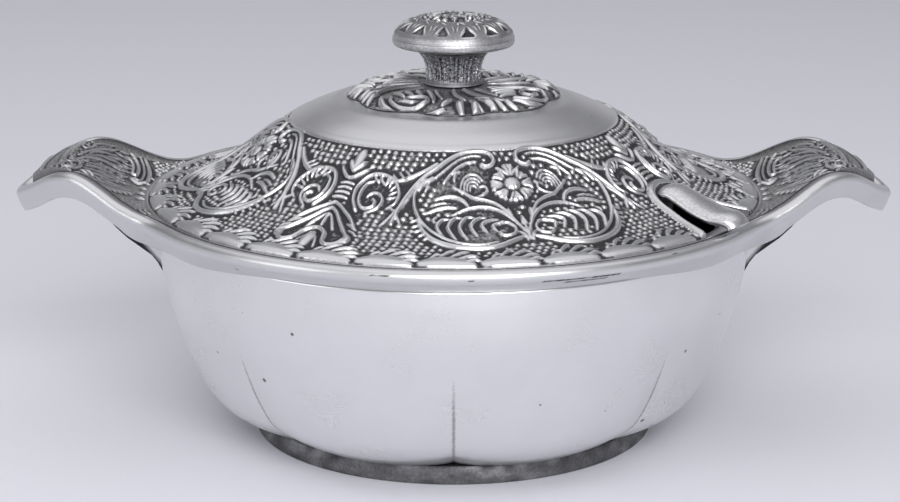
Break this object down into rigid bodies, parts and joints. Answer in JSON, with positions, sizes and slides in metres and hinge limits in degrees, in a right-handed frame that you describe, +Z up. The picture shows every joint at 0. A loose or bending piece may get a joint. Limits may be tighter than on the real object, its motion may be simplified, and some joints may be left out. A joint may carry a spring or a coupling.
{
  "type": "tureen",
  "caption": "Lidded serving tureen with a lobed round bowl on a foot ring, winged side handles, a domed lid with a knob and a ladle notch, and a hooked ladle.",
  "frame": {"origin": "centre of the foot ring, on the surface that the tureen stands on", "axes": "+Z up along the axis of bowl, lid and knob; X through both handles; -Y is the front of the picture"},
  "size_m": [0.363, 0.265, 0.1735],
  "materials": {
    "body": "polished cast alloy with fine scratches and small dark casting pits",
    "relief": "cast relief, bright on the raised parts and dark grey in the hollows",
    "rough": "as-cast, matt dark grey",
    "fixing": "turned steel"
  },
  "bodies": {
    "tureen": {"bowl": "body", "foot_ring": "rough", "rim_border": "body", "handle_right": "relief", "handle_left": "relief", "handle_rib_right": "rough", "handle_rib_left": "rough"},
    "lid": {"lid_shell": "relief", "knob_rosette": "relief", "knob_stem": "relief", "knob_cap": "relief", "knob_washer": "fixing", "knob_screw": "fixing"},
    "ladle": {"ladle_bowl": "body", "ladle_handle": "body"}
  },
  "joints": [
    {"name": "lid_lift", "type": "slide", "parent": "tureen", "child": "lid", "axis": [0, 0, 1], "range_m": [0, 0.24]},
    {"name": "ladle_lift", "type": "slide", "parent": "tureen", "child": "ladle", "axis": [0, 0, 1], "range_m": [0, 0.12]}
  ],
  "couplings": [
    {"joint": "ladle_lift", "follows": "lid_lift", "ratio": 0.5}
  ]
}
